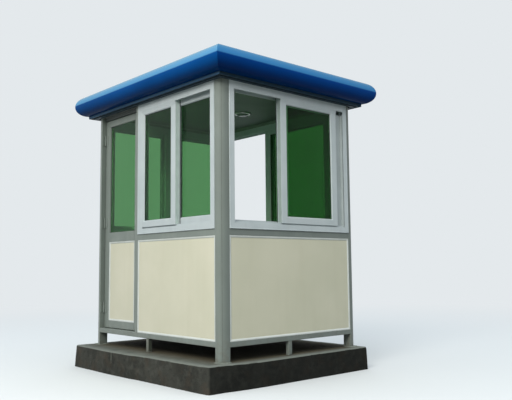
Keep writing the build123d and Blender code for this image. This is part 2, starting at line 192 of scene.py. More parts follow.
def piece(name, shape, finish, body="booth", replaces=(), edge=0.8, crease=40, weld=False):
    """A mesh from its points in mm and its faces, with the sharp edges eased, that
    stands for plain nodes of the part or adds to them."""
    form = bmesh.new()
    corners = [form.verts.new(Vector(point) * 0.001) for point in shape[0]]
    for face in shape[1]:
        form.faces.new([corners[at] for at in face])
    if weld:
        bmesh.ops.remove_doubles(form, verts=form.verts, dist=0.00001)
    bmesh.ops.recalc_face_normals(form, faces=form.faces)
    if edge:
        sharp = [e for e in form.edges if e.is_manifold and e.calc_face_angle() > math.radians(crease)]
        bmesh.ops.bevel(form, geom=sharp, offset=edge * 0.001, segments=2, profile=0.5, affect="EDGES",
                        clamp_overlap=True)
    mesh = bpy.data.meshes.new(name)
    form.to_mesh(mesh)
    form.free()
    mesh.materials.append(finish)
    mesh.shade_smooth()
    mesh.set_sharp_from_angle(angle=math.radians(50))
    shown = bpy.data.objects.new(name, mesh)
    scene.collection.objects.link(shown)
    shown.modifiers.new("even_shading", "WEIGHTED_NORMAL").keep_sharp = True
    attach(shown, body)
    if replaces:
        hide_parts(*replaces)
    return shown


def patches(tree, size, low=0.35, high=0.65, detail=4, stretch=(1, 1, 1), shift=0.0, span=(0.0, 1.0)):
    """Uneven patches about size mm across in the row frame, with values over the span."""
    spot = add(tree, "TexCoord", out="Object")
    spot = add(tree, "Mapping", {0: spot, "Location": (shift, shift, shift), "Scale": stretch})
    grain = add(tree, "TexNoise", {"Vector": spot, "Scale": 1000 / size, "Detail": detail})
    return add(tree, "MapRange", {"Value": grain, "From Min": low, "From Max": high, "To Min": span[0],
                                  "To Max": span[1]})


def along_axis(tree, axis, first, last):
    """0 at the first place along an axis of the row frame and 1 at the last, in mm."""
    spot = add(tree, "SeparateXYZ", {0: add(tree, "TexCoord", out="Object")}, out=axis)
    return add(tree, "MapRange", {"Value": spot, "From Min": first / 1000, "From Max": last / 1000})


def facing(tree, axis, low, high):
    """0 to 1 by how far a surface turns to look along +X, +Y or +Z."""
    share = add(tree, "SeparateXYZ", {0: add(tree, "NewGeometry", out="Normal")}, out=axis)
    return add(tree, "MapRange", {"Value": share, "From Min": low, "From Max": high})


def times(tree, *factors):
    """The product of masks and numbers."""
    product = factors[0]
    for factor in factors[1:]:
        product = add(tree, "Math", {0: product, 1: factor}, operation="MULTIPLY")
    return product


def layered(tree, colour, *layers):
    """A colour under layers of (mask, colour), or (mask, colour, "MULTIPLY") for a darker tint, used for
    painted shade.
    """
    for share, upper, *blend in layers:
        colour = add(tree, "Mix", {0: share, 6: colour, 7: upper}, out=2, data_type="RGBA",
                     blend_type=blend[0] if blend else "MIX")
    return colour


def two_tone(tree, size, one, other, detail=4, shift=0.0):
    """Two close tones in soft patches about size mm across."""
    return layered(tree, one, (patches(tree, size, detail=detail, shift=shift), other))


plinth_low, plinth_high = (Vector(corner) * 1000 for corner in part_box("plinth"))
plinth_top = plinth_high.z
plinth_round, plinth_edge = 25, 9
# Where the edge stands in from the full size, as (place along it, how far in).
front_wander = ((-950, 56), (-790, 55), (-700, 28), (-578, 10), (-440, 1), (250, 14), (800, 22))
door_wander = ((-1035, 44), (-840, 27), (-600, 27), (-107, 26), (39, 3), (395, 1), (700, 20), (995, 30))
wander_fade = 500


def wander(table, at):
    """How far in the edge stands at a place, between the places given."""
    for (low, near), (high, far) in zip(table, table[1:]):
        if at <= high:
            share = min(1.0, max(0.0, (at - low) / (high - low)))
            return near + (far - near) * share * share * (3 - 2 * share)
    return table[-1][1]


def cast(x, y, z):
    """A point of the straight block moved to where the hand-made one has it."""
    spread = 0.5 + 0.5 * z / plinth_top
    x_share = max(0.0, 1 - (x - plinth_low.x) / wander_fade)
    y_share = max(0.0, 1 - (y - plinth_low.y) / wander_fade)
    return Vector((x + wander(door_wander, y) * spread * x_share,
                   y + wander(front_wander, x) * spread * y_share, z))


# Cast concrete, IOR 1.5 and fully rough: dark sides with mottles of 40 to 110 mm,
# pores of about 10 mm, drawn coarse enough to show, and a pale worn rim. All sides
# but the door side, and the top near and under the booth, are darker: painted shade.
concrete, tree, shader = surface("cast_concrete", {"Roughness": 0.92, "IOR": 1.5, "Specular IOR Level": 0.12})
concrete_colour_and_shade = layered(
    tree, "#343531", (patches(tree, 230, 0.36, 0.64, 5), "#42433e"),
    (times(tree, patches(tree, 60, 0.48, 0.68, 5), 0.45), "#54554f"),
    (times(tree, patches(tree, 38, 0.52, 0.7, shift=9.0), 0.5), "#282a29"),
    (times(tree, patches(tree, 110, 0.5, 0.66, 5, shift=4.0), 0.4), "#4b4238"))
# Painted shade: all sides but the door side are darkened.
shaded_side = layered(tree, concrete_colour_and_shade, (0.68, "#0d0f0e"))
# Painted shade: the top darkens towards the booth and under it.
painted_shade_under_booth = times(tree, along_axis(tree, "X", -860, -700), along_axis(tree, "Y", -1000, -900), 0.85)
top = layered(tree, two_tone(tree, 120, "#565b55", "#686c65", 5, 7.0), (painted_shade_under_booth, "#4f493a"))
rim = times(tree, add(tree, "Attribute", out="Fac", attribute_name="worn_rim"),
            patches(tree, 160, 0.2, 0.42, 3, shift=2.0))
concrete_colour_and_shade = layered(tree, concrete_colour_and_shade, (facing(tree, "X", -0.9, -0.4), shaded_side), (facing(tree, "Z", 0.5, 0.9), top),
               (rim, "#6f746e"))
pores = add(tree, "TexVoronoi", {"Vector": add(tree, "TexCoord", out="Object"), "Scale": 95.0})
pits = add(tree, "MapRange", {"Value": pores, "From Min": 0.08, "From Max": 0.3})
rough_cast = add(tree, "Math", {0: pits, 1: patches(tree, 12, 0.3, 0.7, 6)})
skin = add(tree, "Bump", {"Height": rough_cast, "Distance": 0.002, "Strength": 0.7})
wire(shader, {"Base Color": concrete_colour_and_shade, "Normal": skin})

outline = box_section(plinth_low.x, plinth_high.x, plinth_low.y, plinth_high.y, plinth_round, 8)
spacing, side_rows, chip_deep = 14, 15, 6
walk = []
for index, here in enumerate(outline):
    there = outline[(index + 1) % len(outline)]
    parts = max(1, round((there - here).length / spacing))
    walk += [here.lerp(there, part / parts) for part in range(parts)]
# Each ring: how far in from the side, and how high.
shoulder = plinth_top - plinth_edge
rings = [(0, shoulder * row / side_rows) for row in range(side_rows)]
rings += [(plinth_edge * (1 - math.cos(a)), shoulder + plinth_edge * math.sin(a))
          for a in (0, 0.4, 0.8, 1.2, 1.57)]
rings += [(inward, plinth_top) for inward in (15, 25, 34, 44, 56, 70, 86)]
points = []
for inward, z in rings:
    for index, here in enumerate(walk):
        run = (walk[(index + 1) % len(walk)] - walk[index - 1]).normalized()
        into = Vector((-run.y, run.x))
        where = Vector((here.x, here.y, z))
        wave = 1.3 + noise.noise(where * 0.006) + 0.6 * noise.noise(where * 0.03)
        chipped = max(0.0, noise.noise(where * 0.009 + Vector((9, 0, 0)))) * chip_deep
        worn = chipped * max(0, 1 - abs(z - plinth_top + 4) / 14)
        fading_in = max(0.0, 1 - inward / 25)
        spot = here + into * (inward + (wave + worn) * fading_in)
        x = min(max(spot.x, plinth_low.x + inward), plinth_high.x - inward)
        y = min(max(spot.y, plinth_low.y + inward), plinth_high.y - inward)
        points.append(cast(x, y, max(0.0, z - 1 - worn * fading_in) if z > shoulder else z))
plinth = piece("cast_plinth", (points, between_rings(len(walk), len(rings))), concrete,
               replaces=["plinth"], edge=0, weld=True)
rim_from, rim_to = 80, 22
worn_rim = plinth.data.attributes.new("worn_rim", "FLOAT", "POINT")
for index, vertex in enumerate(plinth.data.vertices):
    x, y, z = vertex.co * 1000
    inward = min(x - plinth_low.x - wander(door_wander, y), y - plinth_low.y - wander(front_wander, x),
                 plinth_high.x - x, plinth_high.y - y)
    paleness = min(1.0, max(0.0, (rim_from - inward) / (rim_from - rim_to)))
    worn_rim.data[index].value = paleness if z > shoulder + 2 else 0.0


# Mortar pads
# A low skirt of cement mortar round the foot of each corner post, trowelled by hand
# to level the booth, paler than the plinth, and the joint down the plinth's side.
def cement(name, dark, pale):
    """Cement mortar, IOR 1.5 and fully rough, with grit of about 5 mm."""
    made, tree, shader = surface(name, {"Roughness": 0.95, "IOR": 1.5, "Specular IOR Level": 0.2})
    grit = add(tree, "Bump", {"Height": patches(tree, 5, 0.3, 0.7, 4), "Distance": 0.0015, "Strength": 0.8})
    wire(shader, {"Base Color": two_tone(tree, 25, dark, pale, 5), "Normal": grit})
    return made


def mortar_pad(middle, half, spread):
    """A wavy skirt round a square foot, in rings from its rim up to the foot."""
    points = []
    rings = ((spread, -3.5), (spread * 0.7, 1.5), (spread * 0.25, 4), (-3, 6))
    count = 48
    for reach, z in rings:
        for step in range(count):
            angle = math.tau * step / count
            way = Vector((math.cos(angle), math.sin(angle), 0))
            square = half / max(abs(way.x), abs(way.y))
            wavy = 1 + 0.45 * noise.noise(way * 1.7 + middle * 0.01)
            height = plinth_top + z + noise.noise(way * 3 + middle)
            points.append(middle + way * (square + reach * wavy) + Vector((0, 0, height)))
    return points, between_rings(count, len(rings))


mortar = cement("cement_mortar", "#646a62", "#787e75")
half_width, half_depth = 750, 932.5
post_size = 78
post_corners = (("front_left", -1, -1), ("front_right", 1, -1), ("back_left", -1, 1), ("back_right", 1, 1))
for name, x, y in post_corners:
    foot = Vector((x * (half_width - post_size / 2), y * (half_depth - post_size / 2), 0))
    piece("mortar_pad_" + name, mortar_pad(foot, post_size / 2, 16), mortar, edge=0)

joint_y, joint_half, joint_rows = 300, 8, 20
joint_profile = ((-1, -6), (-0.8, 0.2), (0, 0.8), (0.8, 0.2), (1, -6))
points = []
for row in range(joint_rows + 1):
    z = 3 + (plinth_top - 12) * row / joint_rows
    for across, proud in joint_profile:
        ragged = joint_half * (1 + 0.5 * noise.noise(Vector((across * 2, 0, z * 0.03))))
        points.append(cast(plinth_low.x + 1.8 - proud, joint_y + across * ragged, z))
piece("plinth_joint", (points, between_rings(len(joint_profile), joint_rows + 1)),
      cement("old_mortar", "#53564f", "#66695f"), edge=0)


# Corner posts
# Hollow aluminium extrusions with a quarter-round outer corner and a seam groove
# down its middle. Powder coated a satin mid grey, and sealed along the seam.
def lengths(pairs):
    """Straight lengths of section bar, each between the outlines of its two ends."""
    points, faces = [], []
    for first, last in pairs:
        faces += between_rings(len(first), 2, len(points))
        points += [*first, *last]
    return points, faces


def powder_coat(name, colour, dark, pale, front_shade, gloss=0.5):
    """Baked powder paint on metal, IOR 1.5: satin, with a fine orange peel of about
    3 mm, faint rain marks down it, brown splash dirt and painted shade near the
    ground, painted light that makes it paler under the eaves, and painted shade, a
    darker tint, on the faces that look to the front."""
    made, tree, shader = surface(name, {"IOR": 1.5, "Metallic": 0.0, "Specular IOR Level": gloss})
    coat = layered(
        tree, two_tone(tree, 300, colour, dark),
        (times(tree, patches(tree, 60, 0.5, 0.8, 3, (1, 1, 0.06)), 0.3), pale),
        # Brown splash dirt and painted shade, darker towards the ground.
        (times(tree, along_axis(tree, "Z", 420, 195), patches(tree, 35, 0.4, 0.65, 5), 0.5), "#6b6558"),
        # Painted light: paler under the eaves.
        (times(tree, along_axis(tree, "Z", 2230, 2300), 0.6), pale),
        # Painted shade: a darker tint on the faces that look to the front.
        (facing(tree, "Y", -0.4, -0.95), front_shade, "MULTIPLY"))
    peel = add(tree, "Bump", {"Height": patches(tree, 3, 0.3, 0.7, 2), "Distance": 0.00012, "Strength": 0.5})
    wire(shader, {"Base Color": coat, "Roughness": patches(tree, 60, 0.3, 0.7, span=(0.36, 0.55)),
                  "Normal": peel})
    return made


def plain_finish(name, even, size, one, other):
    """A smooth finish in two close tones, in soft patches about size mm across."""
    made, tree, shader = surface(name, even)
    wire(shader, {"Base Color": two_tone(tree, size, one, other)})
    return made


def corner_bar(x, y, section, *levels):
    """A bar standing at a corner of the cabin, its section measured in from both faces."""
    return [[Vector((x * (half_width - a), y * (half_depth - b), z)) for a, b in section] for z in levels]


# The last colour is the painted shade on the faces that look to the front.
grey_coat = powder_coat("powder_coated_aluminium", "#7d8680", "#767f79", "#8f978f", "#e0e2e2")
# Silicone sealant, IOR 1.45: matt and a little darker than the paint.
seam_seal = plain_finish("grey_sealant", {"Roughness": 0.7, "IOR": 1.45}, 40, "#5c635d", "#69706a")
post_round, post_top, bend_steps = 65, 2392, 24
seam_half, seam_deep = 2, 2
seam_angle, seam_bottom = math.asin(seam_half / post_round), post_round - seam_deep
seam = [(radius, math.pi / 4 + way * seam_angle) for way, radius in (
    (-1, post_round), (-1, seam_bottom), (1, seam_bottom), (1, post_round))]
bend = [(post_round, math.pi / 2 * step / bend_steps) for step in range(bend_steps + 1)]
bend[bend_steps // 2:bend_steps // 2 + 1] = seam
post_section = [(post_round - radius * math.sin(angle), post_round - radius * math.cos(angle))
                for radius, angle in bend]
post_section += [(0, post_size), (post_size, post_size), (post_size, 0)]
seam_in = post_round * (1 - math.sqrt(0.5))
in_seam = [(seam_in + a - b, seam_in + a + b) for a, b in ((0.9, -1.4), (0.9, 1.4), (2.4, 1.4), (2.4, -1.4))]
for name, x, y in post_corners:
    piece("post_" + name, lengths([corner_bar(x, y, post_section, plinth_top, post_top)]), grey_coat,
          replaces=["corner_post_" + name], edge=0.7)
    piece("post_seam_" + name, lengths([corner_bar(x, y, in_seam, plinth_top + 8, post_top - 30)]), seam_seal,
          edge=0)

# Floor rails and legs
# Rectangular tubes between the posts under the panels, in the same grey, each
# standing on one short square leg in the middle, welded at its top and bottom.
sides = {
    "front": (Vector((0, -1, 0)), half_depth),
    "back": (Vector((0, 1, 0)), half_depth),
    "left": (Vector((-1, 0, 0)), half_width),
    "right": (Vector((1, 0, 0)), half_width),
}
ends = {"front": half_width, "back": half_width, "left": half_depth, "right": half_depth}


def along(side):
    """The way along a side, to the right as seen from outside."""
    return Vector((0, 0, 1)).cross(sides[side][0])


def place(side, s, z, u):
    """A point on one side of the cabin, in mm: s along it, z up, u out from its face."""
    normal, reach = sides[side]
    return normal * (reach + u) + along(side) * s + Vector((0, 0, z))


def level_bar(side, section, s0, s1, mitre=0):
    """A bar along a side, from its (u, z) section. Mitred bars grow outwards."""
    return ([place(side, s0 - mitre * u, z, u) for u, z in section],
            [place(side, s1 + mitre * u, z, u) for u, z in section])


def upright_bar(side, section, z0, z1):
    """A bar standing at a side, from its (s, u) section."""
    return [place(side, s, z0, u) for s, u in section], [place(side, s, z1, u) for s, u in section]


def post_to_post(low, high):
    """A rail on each side between its posts."""
    section = box_section(-rail_depth, 0, low, high, 3)
    return lengths([level_bar(side, section, post_size - reach, reach - post_size)
                    for side, reach in ends.items()])


rail_depth = 60
floor_bottom, floor_top = 300, 340
piece("floor_rail_tubes", post_to_post(floor_bottom, floor_top), grey_coat,
      replaces=["floor_rails"], edge=0.6)
leg, leg_middle, bulge = 35, -55, 2
leg_tube = box_section(leg_middle - leg / 2, leg_middle + leg / 2, -leg, 0, 3)
weld_ring = box_section(leg_middle - leg / 2 - bulge, leg_middle + leg / 2 + bulge, -leg - bulge, 0, 4)
# Painted shade: the door-side and opposite legs are a darker grey, much darker where they face the front.
shaded_leg_coat = powder_coat("leg_paint_in_painted_shade", "#7a827b", "#6b6f66", "#848b83", "#9aa19a")
for pair, coat in ((("front", "back"), grey_coat), (("left", "right"), shaded_leg_coat)):
    legs = lengths([upright_bar(side, leg_tube, plinth_top, floor_bottom) for side in pair])
    piece("_and_".join(pair) + "_legs", legs, coat, replaces=["floor_feet"], edge=0.6)
welds = [upright_bar(side, weld_ring, z - 2.4, z + 2.4) for side in sides
         for z in (floor_bottom - 2.5, plinth_top + 3.5)]
piece("leg_welds", lengths(welds), grey_coat, edge=1.6)


# Floor joists and floor
# Three steel tubes welded across between the floor rails, under a board floor that
# is covered with speckled grey sheet vinyl.
def dress(finish, *nodes):
    """Gives nodes whose shape is right their material."""
    for node in nodes:
        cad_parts[node].data.materials.clear()
        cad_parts[node].data.materials.append(finish)


dress(grey_coat, "floor_joists")
# Printed sheet vinyl, IOR 1.5 and satin: pale and dark specks of 4 and 5 mm, and
# trodden dirt in patches.
vinyl, tree, shader = surface("sheet_vinyl", {"Roughness": 0.45, "IOR": 1.5})
speckled = layered(
    tree, two_tone(tree, 200, "#6f7573", "#7b817e"), (patches(tree, 4, 0.52, 0.6, 1), "#a3a8a3"),
    (patches(tree, 5, 0.56, 0.64, 1, shift=3.0), "#4c5250"),
    (times(tree, patches(tree, 340, 0.5, 0.7, 5), 0.4), "#8a8474"))
wire(shader, {"Base Color": speckled})
dress(vinyl, "floor_deck")

# Wall panels
# Sandwich panels of steel sheet on a foam core, coil coated cream. The thin sheet
# waves a little over the foam, so its dull shine is never quite even.
cream_steel, tree, shader = surface("coil_coated_steel", {"IOR": 1.5, "Metallic": 0.0})
cream = layered(
    tree, two_tone(tree, 420, "#d2d0bb", "#cccbb5", 3),
    (times(tree, patches(tree, 90, 0.52, 0.8, 3, (1, 1, 0.06)), 0.25), "#c3c0a8"),
    (times(tree, along_axis(tree, "Z", 380, 340), patches(tree, 45, 0.38, 0.66, 5), 0.25), "#b3ab8e"),
    # Painted shade: a slightly darker tint on the faces that look to the front.
    (facing(tree, "Y", -0.4, -0.95), "#f4f5f3", "MULTIPLY"))
wavy = add(tree, "Bump", {"Height": patches(tree, 260, 0.3, 0.7, 1), "Distance": 0.003, "Strength": 0.35})
peel = add(tree, "Bump", {"Height": patches(tree, 3, 0.3, 0.7, 2), "Distance": 0.0001, "Strength": 0.4,
                          "Normal": wavy})
dull = patches(tree, 90, 0.3, 0.7, span=(0.34, 0.5))
wire(shader, {"Base Color": cream, "Roughness": dull, "Normal": peel})
dress(cream_steel, *[side + "_wall_panel" for side in sides], "door_panel")


# Panel beads
# White rigid vinyl glazing beads, mitred at the corners, that hold each panel in
# its opening from outside.
def white_vinyl(name, colour, grime):
    """Extruded rigid vinyl, IOR 1.53: smooth and satin, a cool white, with grey
    rain dirt in streaks and dust that lies on its level faces."""
    made, tree, shader = surface(name, {"IOR": 1.53, "Metallic": 0.0})
    white = layered(
        tree, two_tone(tree, 180, colour, grime),
        (times(tree, patches(tree, 50, 0.54, 0.82, 3, (1, 1, 0.08)), 0.25), "#9fa6a4"),
        (times(tree, facing(tree, "Z", 0.7, 0.95), patches(tree, 30, detail=5), 0.6), "#8f8f84"))
    wire(shader, {"Base Color": white, "Roughness": patches(tree, 50, 0.3, 0.7, span=(0.28, 0.42))})
    return made


def mitred(side, box, sections):
    """Four lengths of one section round a box (s0, s1, z0, z1), mitred. The sections
    are the left, bottom, right and top ones, each in (in from the edge, u)."""
    s0, s1, z0, z1 = box
    around = list(zip(*sections))
    rings = [
        [place(side, s0 + l[0], z0 + b[0], l[1]) for l, b, r, t in around],
        [place(side, s1 - r[0], z0 + b[0], r[1]) for l, b, r, t in around],
        [place(side, s1 - r[0], z1 - t[0], r[1]) for l, b, r, t in around],
        [place(side, s0 + l[0], z1 - t[0], l[1]) for l, b, r, t in around],
    ]
    return [(rings[at], rings[(at + 1) % 4]) for at in range(4)]


bead_white = white_vinyl("vinyl_bead", "#cfd5d1", "#c4cac5")
belt_bottom, sill_level, head_level = 1121, 1171, 2302
mullion_low, mullion_high = -254.5, -214.5
spans = {side: (post_size - reach, reach - post_size) for side, reach in ends.items()}
spans["left"] = (mullion_high, half_depth - post_size)
bead_wide, bead_high, panel_face = 16, 5, -6


def bead_section(face):
    """Section (in from the edge, u) of a bead that lies on a panel's face."""
    crown = face + bead_high
    return rounded([(0, face, 0), (0, crown, 1), (7, crown, 4), (bead_wide, face + 1.2, 0.8),
                    (bead_wide, face, 0)], 3)


beads = []
for side, (s0, s1) in spans.items():
    beads += mitred(side, (s0, s1, floor_top, belt_bottom), [bead_section(panel_face)] * 4)
piece("wall_beads", lengths(beads), bead_white, replaces=["panel_beads"], edge=0.35)

# Belt rails and head rails
# The same tube as the floor rails, closing the walls under and over the windows,
# the head rails in a darker grey as painted shade. Only the belt rails show from outside.
belts = [level_bar(side, box_section(-rail_depth, 0, belt_bottom, sill_level, 3), *span)
         for side, span in spans.items()]
piece("belt_rail_tubes", lengths(belts), grey_coat, replaces=["belt_rails"], edge=0.6)
# Painted shade: a darker grey for the head rails under the soffit and inside.
shaded_coat = powder_coat("shaded_rail_paint", "#666c66", "#5f655f", "#6e746e", "#e0e2e2")
piece("head_rail_tubes", post_to_post(head_level, post_top), shaded_coat,
      replaces=["head_rails"], edge=0.6)

# Window frames
# White vinyl extrusion with three lips that make two sliding tracks, mitred and
# welded at its corners, with a raised outer edge and a roller fin in each track.
frame_white = white_vinyl("vinyl_window_section", "#b9c3c5", "#b1bcbe")
frame_proud, frame_back, lip, track = 8, -78, 5, 35.5
step_in, fin_half = 1.6, 2


def frame_section(chamber, front_lip, middle_lip, back_lip):
    """Section (in from the edge, u) of one side of a frame, the tracks opening inwards."""
    front_back = frame_proud - lip
    middle_front = front_back - track
    middle_back = middle_front - lip
    return rounded([
        (0, frame_back, 1.5), (0, frame_proud, 2.5), (7, frame_proud, 1), (8.4, frame_proud - step_in, 0.5),
        (front_lip, frame_proud - step_in, 1.6), (front_lip, front_back, 1), (chamber, front_back, 0),
        (chamber, middle_front, 0), (middle_lip, middle_front, 1.6), (middle_lip, middle_back, 1.6),
        (chamber, middle_back, 0), (chamber, frame_back + lip, 0), (back_lip, frame_back + lip, 1.6),
        (back_lip, frame_back, 1.6)], 3)


jamb_deep, jamb_lip, sill_lip, header_lip = 20, 48, 46, 62
jamb = frame_section(jamb_deep, jamb_lip, 48, 48)
sill = frame_section(39, sill_lip, 60, 75)
header = frame_section(35, header_lip, 52, 62)
sash_bottom, sash_top = 1228, 2258
track_middles = (3 - track / 2, 3 - track / 2 - track - lip)
for side, (s0, s1) in spans.items():
    bars = mitred(side, (s0, s1, sill_level, head_level), [jamb, sill, jamb, header])
    for u in track_middles:
        fin = box_section(u - fin_half, u + fin_half, sill_level + 38, sash_bottom + 5, 1)
        bars.append(level_bar(side, fin, s0 + jamb_deep, s1 - jamb_deep))
    piece(side + "_frame_section", lengths(bars), frame_white,
          replaces=[side + "_window_frame"], edge=0.5)

# Sliding sashes
# Each is one ring of chunky white section welded at its corners, bevelled down to
# the glass, with black rubber gaskets on both faces and a snap-in bead inside.
sash_half, glass_half, glass_play, glass_bite = 15.5, 2.5, 0.2, 8.5
stile, bottom_rail, top_rail = 70, 57, 58
member_widths = (stile, bottom_rail, stile, top_rail)
# Extruded rubber, IOR 1.52: dull black that has greyed in patches.
rubber = plain_finish("black_rubber", {"Roughness": 0.6, "IOR": 1.52}, 30, "#1d1f1f", "#34373a")


def sash_section(width, middle):
    """Section (in from the edge, u) of a sash member, with a groove for the glass."""
    groove = glass_half + glass_play
    points = [(0, -sash_half, 2), (0, sash_half, 2.5), (width - 7, sash_half, 2), (width, sash_half - 7, 1),
              (width, groove, 0), (width - glass_bite, groove, 0), (width - glass_bite, -groove, 0),
              (width, -groove, 0), (width, 7 - sash_half, 1), (width - 7, -sash_half, 1),
              (width - 20, -sash_half, 0.5), (width - 21, 1.2 - sash_half, 0), (width - 22, -sash_half, 0.5)]
    return rounded([(w, middle + u, r) for w, u, r in points], 3)


def gasket_section(width, middle, way):
    """A soft wedge between the section and one face of the pane."""
    wedge = ((-1, 0.1), (2.4, 0.1), (1.8, 2.2), (-1, 4.2))
    return [(width + far, middle + way * (glass_half + off)) for far, off in wedge]


def node_span(side, node):
    """Where a node of the part starts and ends along a side."""
    return sorted((Vector(corner) * 1000).dot(along(side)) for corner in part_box(node))


gaskets = []
for side in sides:
    for middle, name in zip(track_middles, ("outer", "inner")):
        node = side + "_" + name + "_sash"
        box = (*node_span(side, node), sash_bottom, sash_top)
        sections = [sash_section(width, middle) for width in member_widths]
        piece(node + "_section", lengths(mitred(side, box, sections)), frame_white,
              replaces=[node], edge=0.5)
        for way in (1, -1):
            gaskets += mitred(side, box, [gasket_section(width, middle, way) for width in member_widths])
piece("sash_gaskets", lengths(gaskets), rubber, edge=0.4)

# Window glass
# Green body-tinted float glass 5 mm thick. One pane passes about half of the light,
# and two in a row look deep green. The IOR is set below the 1.52 of float glass, so
# that the plain backdrop doesn't veil the dark inside with its reflection.
glass_tint = "#95bf97"
green_glass, tree, shader = surface("green_float_glass", {
    "Base Color": glass_tint, "Roughness": 0.0, "IOR": 1.25, "Transmission Weight": 1.0,
    "Specular Tint": "#5f6c62"})
tinted_light = add(tree, "BsdfTransparent", {"Color": glass_tint})
passing = add(tree, "LightPath", out="Is Shadow Ray")
pane = add(tree, "MixShader", {0: passing, 1: shader.outputs[0], 2: tinted_light})
wire(tree.nodes["Material Output"], {"Surface": pane})
dress(green_glass, *[side + "_window_glass" for side in sides], "door_glass")

# Wiper lips, interlocks and track fillers
# A soft white lip slopes from the frame's front edge down to the outer sash. A grey
# hooked plastic strip down the meeting stile, with a strip of black pile on its
# hook, closes the gap to the inner sash, and a pale filler lines the empty track.
# Extruded grey plastic, IOR 1.5: satin, with painted shade, a darker tint, on the
# faces that look to the door side.
hook_grey, tree, shader = surface("grey_plastic_strip", {"Roughness": 0.5, "IOR": 1.5})
strip = layered(tree, two_tone(tree, 60, "#b4c2c1", "#bdcbc9"),
                (facing(tree, "X", -0.4, -0.95), "#d2d3d2", "MULTIPLY"))
wire(shader, {"Base Color": strip})
liner = white_vinyl("vinyl_track_liner", "#aab4b4", "#a0aaaa")
sash_front, inner_front = (middle + sash_half for middle in track_middles)
lip_reach = 24
wiper = [(6.2, -0.4), (sash_front + 0.5, lip_reach), (sash_front + 0.2, lip_reach), (sash_front + 0.2, -6),
         (2.8, -6), (2.9, -0.4)]
hook_thick, hook_reach, pile_reach = 1.8, 9, 17
ledge, track_floor, filler_thick = -1, -22.5, 2.5
sash_rows = (sash_bottom + 4, sash_top - 4)
piles = []
for side, (s0, s1) in spans.items():
    first, last = node_span(side, side + "_outer_sash")
    clear_from, clear_to = s0 + jamb_lip, s1 - jamb_lip
    slope = [(u, head_level - header_lip - down) for u, down in wiper]
    lips = [level_bar(side, slope, max(first, clear_from), min(last, clear_to))]
    for hidden, edge_s, way in ((first < clear_from, clear_from, 1), (last > clear_to, clear_to, -1)):
        if hidden:
            lips.append(upright_bar(side, [(edge_s + way * inward, u) for u, inward in wiper],
                                    sill_level + sill_lip, head_level - header_lip))
    piece(side + "_wiper_lips", lengths(lips), frame_white, edge=0)
    edge_s, way = (last, 1) if side in ("left", "right") else (first, -1)
    hook = [(0, sash_front - 2.5), (hook_thick, sash_front - 2.5), (hook_thick, inner_front + 1.4),
            (hook_reach, inner_front + 1.4), (hook_reach, inner_front + 0.2), (0, inner_front + 0.2)]
    hook = [(edge_s + way * out, u) for out, u in hook]
    piece(side + "_interlock", lengths([upright_bar(side, hook, *sash_rows)]), hook_grey,
          edge=0)
    pile_ends = sorted((edge_s + way * (hook_reach - 1), edge_s + way * pile_reach))
    pile = box_section(*pile_ends, inner_front + 0.1, inner_front + 1.5, 0.5)
    piles.append(upright_bar(side, pile, *sash_rows))
    if side in ("front", "right"):
        lip_s, way = (clear_to, -1) if side == "front" else (clear_from, 1)
        gap = clear_to - last if side == "front" else first - clear_from
        filler = [(-2, ledge), (8, ledge), (8, track_floor), (gap - 2, track_floor),
                  (gap - 2, track_floor - filler_thick), (-2, track_floor - filler_thick)]
        filler = [(lip_s + way * far, u) for far, u in filler]
        piece(side + "_track_filler", lengths([upright_bar(side, filler, sill_level + 39, head_level - 92)]),
              liner, edge=0.5)
piece("pile_strips", lengths(piles), rubber, edge=0)

# Door post and door head
# A plain grey tube between the door and the window. Over the door a folded head
# piece stops the leaf and covers the head rail, a dark grey as painted shade.
door_from, door_to = -854.5, mullion_low
door_post = upright_bar("left", box_section(door_to, mullion_high, -post_size, 0, 3), floor_top, head_level)
piece("door_post_tube", lengths([door_post]), grey_coat, replaces=["door_mullion"], edge=0.6)
# Painted shade: the head piece is dark grey for the shade of its recess.
head_coat = powder_coat("head_paint_in_painted_shade", "#4a504c", "#454b47", "#565b57", "#e0e2e2")
head_low, head_face, cover = 2270, -30, 4
head_fold = [(-post_size, head_low), (head_face, head_low), (head_face, head_level - cover),
             (0, head_level - cover), (0, head_level), (-post_size, head_level)]
piece("door_head_fold", lengths([level_bar("left", head_fold, door_from, door_to)]), head_coat,
      replaces=["door_head"], edge=1.0)

# Door leaf
# Two stiles and three rails of grey tube, butted and welded, round a cream panel
# below and one green pane above. Beads hold both, with black rubber on the pane.
leaf_low, leaf_high = 346, 2264
leaf_front, leaf_back = -41, -77
hinge_stile, lock_stile = (-848.5, -773.5), (-337.5, -262.5)
door_panel_levels, door_glass_levels = (411, 1125), (1210, 2206)
cup_s, cup_levels, cup_half, cup_deep = -300, (1275, 1335), 10, 10


def together(*shapes):
    """Several (points, faces) shapes as one."""
    points, faces = [], []
    for more_points, more_faces in shapes:
        faces += [tuple(at + len(points) for at in face) for face in more_faces]
        points += more_points
    return points, faces


def pocketed_stile():
    """The lock stile, with the pocket of the pull cup sunk in its front."""
    outline = box_section(*lock_stile, leaf_back, leaf_front, 3)
    split = max(range(len(outline)), key=lambda at: (round(outline[at].y, 3), outline[at].x))
    cup_edges = [Vector((cup_s + way * cup_half, leaf_front)) for way in (1, -1)]
    outline = [*outline[:split + 1], *cup_edges, *outline[split + 1:]]
    count, near = len(outline), split + 1
    levels = (leaf_low, *cup_levels, leaf_high)
    points = [place("left", s, z, u) for z in levels for s, u in outline]
    points += [place("left", edge.x, z, leaf_front - cup_deep) for z in cup_levels for edge in cup_edges]
    faces = between_rings(count, 4)
    mouth = (count + near, count + near + 1, 2 * count + near + 1, 2 * count + near)
    faces.remove(mouth)
    floor = tuple(4 * count + at for at in (0, 1, 3, 2))
    faces += [floor] + [(mouth[at], mouth[(at + 1) % 4], floor[(at + 1) % 4], floor[at]) for at in range(4)]
    return points, faces


